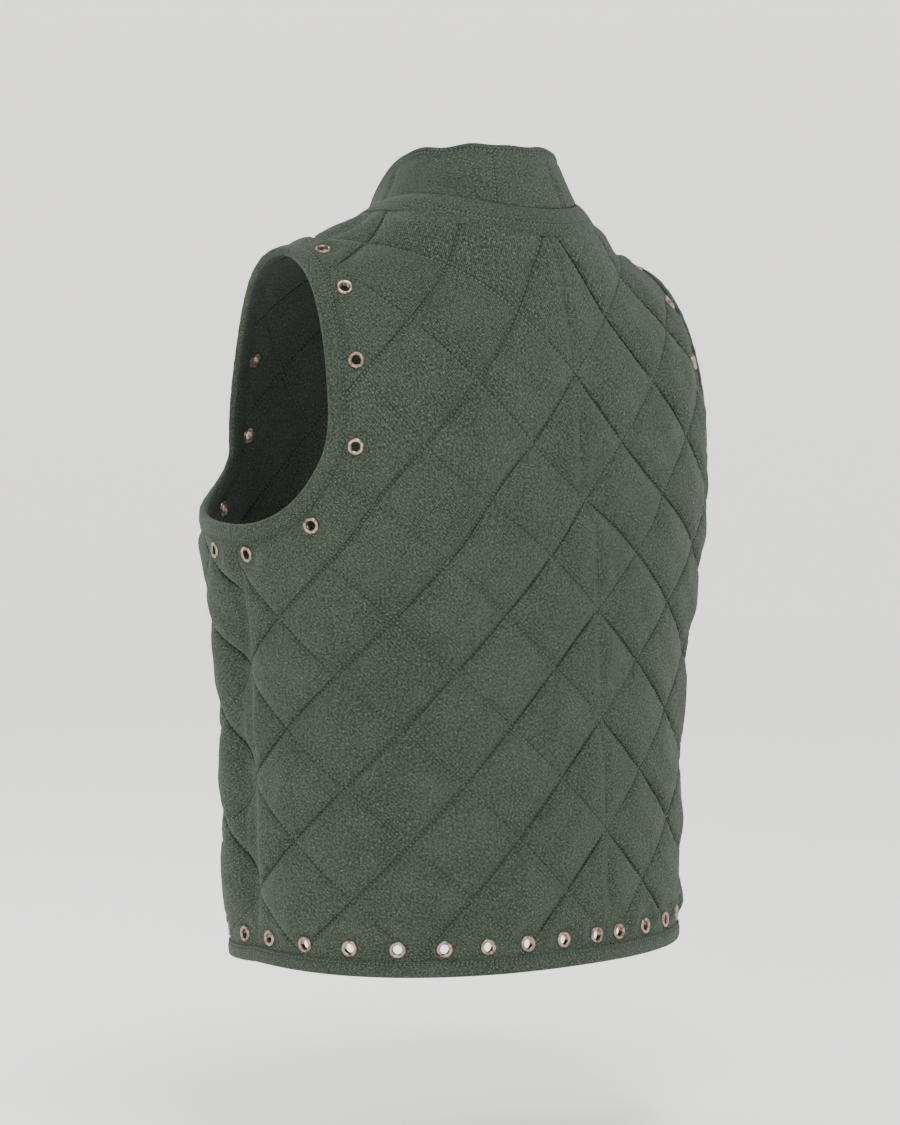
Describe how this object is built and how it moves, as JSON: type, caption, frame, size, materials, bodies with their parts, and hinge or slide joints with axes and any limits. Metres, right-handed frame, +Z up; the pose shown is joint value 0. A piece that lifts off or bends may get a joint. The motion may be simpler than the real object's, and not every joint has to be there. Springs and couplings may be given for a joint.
{
  "type": "padded vest",
  "caption": "Sleeveless padded vest of diamond-quilted cotton twill with a stand collar, bound armholes and hem, and metal eyelets set along the armholes and the hem.",
  "frame": {"origin": "between the shoulders at the level that carries the vest, on the body's middle", "axes": "+Z up, the front faces -Y, the wearer's left is +X"},
  "size_m": [0.4428, 0.3077, 0.6482],
  "materials": {
    "quilted_cotton": "matte twill",
    "cotton_trim": "matte twill",
    "eyelet_metal": "antique"
  },
  "bodies": {
    "root": {"back_left": "quilted_cotton", "front_left": "quilted_cotton", "binding_armhole_left": "cotton_trim", "binding_front_left": "cotton_trim", "back_right": "quilted_cotton", "front_right": "quilted_cotton", "binding_armhole_right": "cotton_trim", "binding_front_right": "cotton_trim", "binding_hem": "cotton_trim", "neck_band": "cotton_trim", "collar": "quilted_cotton", "eyelet_armhole_back_left_1": "eyelet_metal", "eyelet_armhole_back_left_2": "eyelet_metal", "eyelet_armhole_back_left_3": "eyelet_metal", "eyelet_armhole_back_left_4": "eyelet_metal", "eyelet_armhole_back_left_5": "eyelet_metal", "eyelet_armhole_back_left_6": "eyelet_metal", "eyelet_hem_back_left_1": "eyelet_metal", "eyelet_hem_back_left_2": "eyelet_metal", "eyelet_hem_back_left_3": "eyelet_metal", "eyelet_hem_back_left_4": "eyelet_metal", "eyelet_hem_back_left_5": "eyelet_metal", "eyelet_hem_back_left_6": "eyelet_metal", "eyelet_hem_back_left_7": "eyelet_metal", "eyelet_hem_back_left_8": "eyelet_metal", "eyelet_hem_back_left_9": "eyelet_metal", "eyelet_armhole_front_left_1": "eyelet_metal", "eyelet_armhole_front_left_2": "eyelet_metal", "eyelet_armhole_front_left_3": "eyelet_metal", "eyelet_armhole_front_left_4": "eyelet_metal", "eyelet_hem_front_left_1": "eyelet_metal", "eyelet_hem_front_left_2": "eyelet_metal", "eyelet_hem_front_left_3": "eyelet_metal", "eyelet_hem_front_left_4": "eyelet_metal", "eyelet_armhole_back_right_1": "eyelet_metal", "eyelet_armhole_back_right_2": "eyelet_metal", "eyelet_armhole_back_right_3": "eyelet_metal", "eyelet_armhole_back_right_4": "eyelet_metal", "eyelet_armhole_back_right_5": "eyelet_metal", "eyelet_armhole_back_right_6": "eyelet_metal", "eyelet_hem_back_right_1": "eyelet_metal", "eyelet_hem_back_right_2": "eyelet_metal", "eyelet_hem_back_right_3": "eyelet_metal", "eyelet_hem_back_right_4": "eyelet_metal", "eyelet_hem_back_right_5": "eyelet_metal", "eyelet_hem_back_right_6": "eyelet_metal", "eyelet_hem_back_right_7": "eyelet_metal", "eyelet_hem_back_right_8": "eyelet_metal", "eyelet_hem_back_right_9": "eyelet_metal", "eyelet_armhole_front_right_1": "eyelet_metal", "eyelet_armhole_front_right_2": "eyelet_metal", "eyelet_armhole_front_right_3": "eyelet_metal", "eyelet_armhole_front_right_4": "eyelet_metal", "eyelet_hem_front_right_1": "eyelet_metal", "eyelet_hem_front_right_2": "eyelet_metal", "eyelet_hem_front_right_3": "eyelet_metal", "eyelet_hem_front_right_4": "eyelet_metal"}
  },
  "joints": []
}
